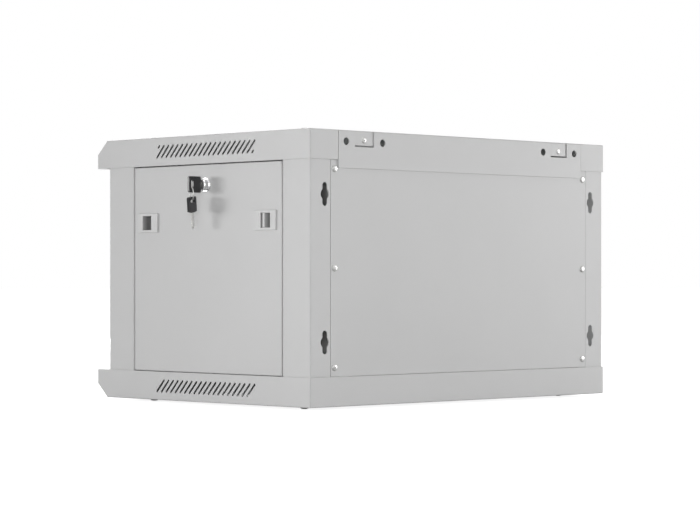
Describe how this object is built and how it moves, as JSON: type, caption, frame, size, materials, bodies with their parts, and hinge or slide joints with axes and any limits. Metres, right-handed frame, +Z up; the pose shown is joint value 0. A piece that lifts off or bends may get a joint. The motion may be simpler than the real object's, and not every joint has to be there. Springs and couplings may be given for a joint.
{
  "type": "wall mount network cabinet",
  "caption": "Wall mount rack cabinet of grey sheet steel: glass door, tilting side panels with finger latches and cam locks, slanted vents, keyhole columns and a rail for the wall.",
  "frame": {"origin": "centre of the floor pan's underside", "axes": "+X to the right seen from the front, +Y to the wall, +Z up"},
  "size_m": [0.6423, 0.454, 0.3788],
  "materials": {
    "grey_powder_coat": "satin light grey powder coat",
    "zinc_plate": "zinc plated sheet",
    "bright_zinc": "bright zinc plating",
    "clear_glass": "clear tempered glass",
    "black_rubber": "matt rubber",
    "grey_plastic": "moulded light grey plastic",
    "lock_chrome": "bright chrome",
    "lock_steel": "plain steel",
    "key_nickel": "nickel plated",
    "black_plastic": "moulded black plastic"
  },
  "bodies": {
    "case": {"roof_pan": "grey_powder_coat", "floor_pan": "grey_powder_coat", "front_column_right": "grey_powder_coat", "front_column_left": "grey_powder_coat", "rear_column_right": "grey_powder_coat", "rear_column_left": "grey_powder_coat", "rear_panel": "grey_powder_coat", "rear_panel_screws": "bright_zinc", "wall_rail": "grey_powder_coat", "wall_rail_screws": "bright_zinc", "frame_screws": "bright_zinc", "frame_nuts": "bright_zinc", "cable_covers": "grey_powder_coat", "cable_cover_screws": "bright_zinc", "earth_stud": "bright_zinc", "depth_rail_lower_right": "zinc_plate", "depth_rail_upper_right": "zinc_plate", "depth_rail_lower_left": "zinc_plate", "depth_rail_upper_left": "zinc_plate", "depth_rail_screws": "bright_zinc", "mounting_rail_front_right": "zinc_plate", "mounting_rail_rear_right": "zinc_plate", "mounting_rail_front_left": "zinc_plate", "mounting_rail_rear_left": "zinc_plate", "mounting_rail_screws": "bright_zinc", "mounting_rail_nuts": "bright_zinc"},
    "door": {"door_frame": "grey_powder_coat", "door_glass": "clear_glass", "door_glass_gasket": "black_rubber", "door_glass_clips": "bright_zinc", "door_hinge_pins": "bright_zinc", "door_buffers": "black_rubber", "door_lock_body": "lock_chrome", "door_lock_nut": "lock_steel"},
    "door_lock": {"door_lock_plug": "lock_steel", "door_lock_cam": "lock_steel", "door_lock_cam_bolt": "lock_steel"},
    "side_panel_right": {"side_panel_right": "grey_powder_coat", "latch_housings_right": "grey_plastic", "side_lock_body_right": "lock_chrome", "side_lock_nut_right": "lock_steel"},
    "latch_front_right": {"latch_slider_front_right": "grey_plastic"},
    "latch_rear_right": {"latch_slider_rear_right": "grey_plastic"},
    "side_lock_right": {"side_lock_plug_right": "lock_steel", "side_lock_cam_right": "lock_steel", "side_lock_cam_bolt_right": "lock_steel", "key_blade": "key_nickel", "key_head": "black_plastic"},
    "side_panel_left": {"side_panel_left": "grey_powder_coat", "latch_housings_left": "grey_plastic", "side_lock_body_left": "lock_chrome", "side_lock_nut_left": "lock_steel"},
    "latch_front_left": {"latch_slider_front_left": "grey_plastic"},
    "latch_rear_left": {"latch_slider_rear_left": "grey_plastic"},
    "side_lock_left": {"side_lock_plug_left": "lock_steel", "side_lock_cam_left": "lock_steel", "side_lock_cam_bolt_left": "lock_steel"},
    "ring": {"key_ring": "key_nickel"},
    "spare_key": {"spare_key_blade": "key_nickel", "spare_key_head": "black_plastic"}
  },
  "joints": [
    {"name": "door_hinge", "type": "hinge", "parent": "case", "child": "door", "pos_m": [-0.269, -0.211, 0.185], "axis": [0, 0, -1], "range_deg": [0, 180]},
    {"name": "door_lock_turn", "type": "hinge", "parent": "door", "child": "door_lock", "pos_m": [0.226, -0.22, 0.185], "axis": [0, -1, 0], "range_deg": [0, 90]},
    {"name": "side_panel_tilt_right", "type": "hinge", "parent": "case", "child": "side_panel_right", "pos_m": [0.3, 0, 0.04], "axis": [0, 1, 0], "range_deg": [0, 30]},
    {"name": "latch_slide_front_right", "type": "slide", "parent": "side_panel_right", "child": "latch_front_right", "axis": [0, -1, 0], "range_m": [0, 0.0044]},
    {"name": "latch_slide_rear_right", "type": "slide", "parent": "side_panel_right", "child": "latch_rear_right", "axis": [0, 1, 0], "range_m": [0, 0.0044]},
    {"name": "side_lock_turn_right", "type": "hinge", "parent": "side_panel_right", "child": "side_lock_right", "pos_m": [0.2982, 0.0126, 0.3006], "axis": [1, 0, 0], "range_deg": [0, 90]},
    {"name": "side_panel_tilt_left", "type": "hinge", "parent": "case", "child": "side_panel_left", "pos_m": [-0.3, 0, 0.04], "axis": [0, -1, 0], "range_deg": [0, 30]},
    {"name": "latch_slide_front_left", "type": "slide", "parent": "side_panel_left", "child": "latch_front_left", "axis": [0, -1, 0], "range_m": [0, 0.0044]},
    {"name": "latch_slide_rear_left", "type": "slide", "parent": "side_panel_left", "child": "latch_rear_left", "axis": [0, 1, 0], "range_m": [0, 0.0044]},
    {"name": "side_lock_turn_left", "type": "hinge", "parent": "side_panel_left", "child": "side_lock_left", "pos_m": [-0.2982, 0.0126, 0.3006], "axis": [1, 0, 0], "range_deg": [0, 90]},
    {"name": "key_ring_swing", "type": "hinge", "parent": "side_lock_right", "child": "ring", "pos_m": [0.3237, 0.0126, 0.2967], "axis": [0.4384, 0.8988, 0], "range_deg": [-45, 12]},
    {"name": "spare_key_swing", "type": "hinge", "parent": "ring", "child": "spare_key", "pos_m": [0.3237, 0.0126, 0.2775], "axis": [0.4384, 0.8988, 0], "range_deg": [-20, 8]}
  ]
}
